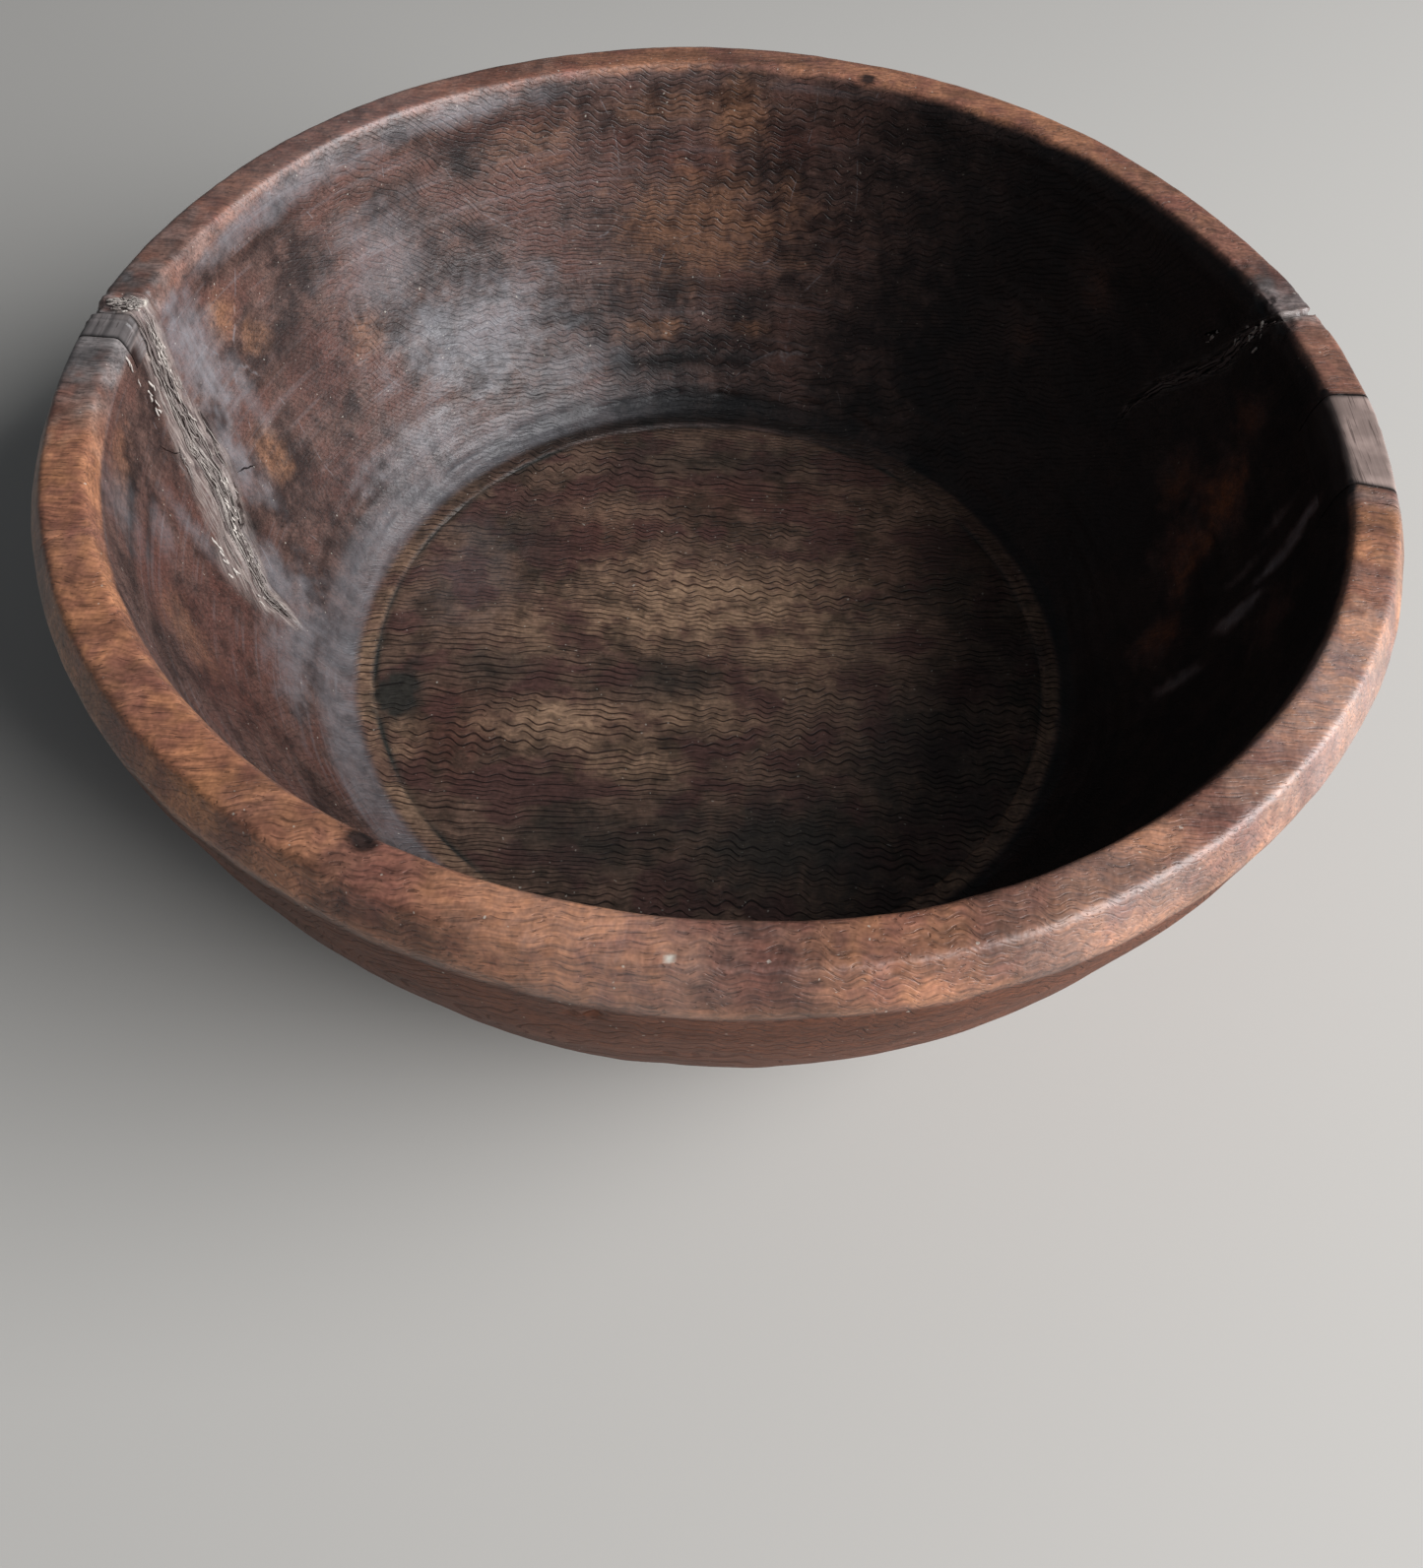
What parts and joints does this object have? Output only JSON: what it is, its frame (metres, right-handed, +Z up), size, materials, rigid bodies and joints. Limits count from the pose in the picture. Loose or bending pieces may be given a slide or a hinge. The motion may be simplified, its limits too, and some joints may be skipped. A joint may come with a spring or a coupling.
{
  "type": "carved wooden bowl",
  "caption": "Deep round carved wooden bowl with a thick bevelled rim, a flat floor, old rim repairs and filled cracks, standing on a flat base.",
  "frame": {"origin": "centre of the flat base, on the surface the bowl stands on", "axes": "+Z up through the mouth, +X along the wood's grain towards the longer rim patch, +Y away from the worn front of the rim"},
  "size_m": [0.3, 0.3, 0.112],
  "materials": {
    "bowl_wood": "hand-worn, waxed satin, curly grain along +X, dark patina",
    "patch_wood": "smooth grey-brown, grain along the rim, satin",
    "crack_fill": "rough, dry, pale grey splinters"
  },
  "bodies": {
    "root": {"bowl_body": "bowl_wood", "right_rim_patch": "patch_wood", "left_rim_patch": "patch_wood", "left_crack_fill": "crack_fill", "right_crack_fill": "crack_fill"}
  },
  "joints": []
}
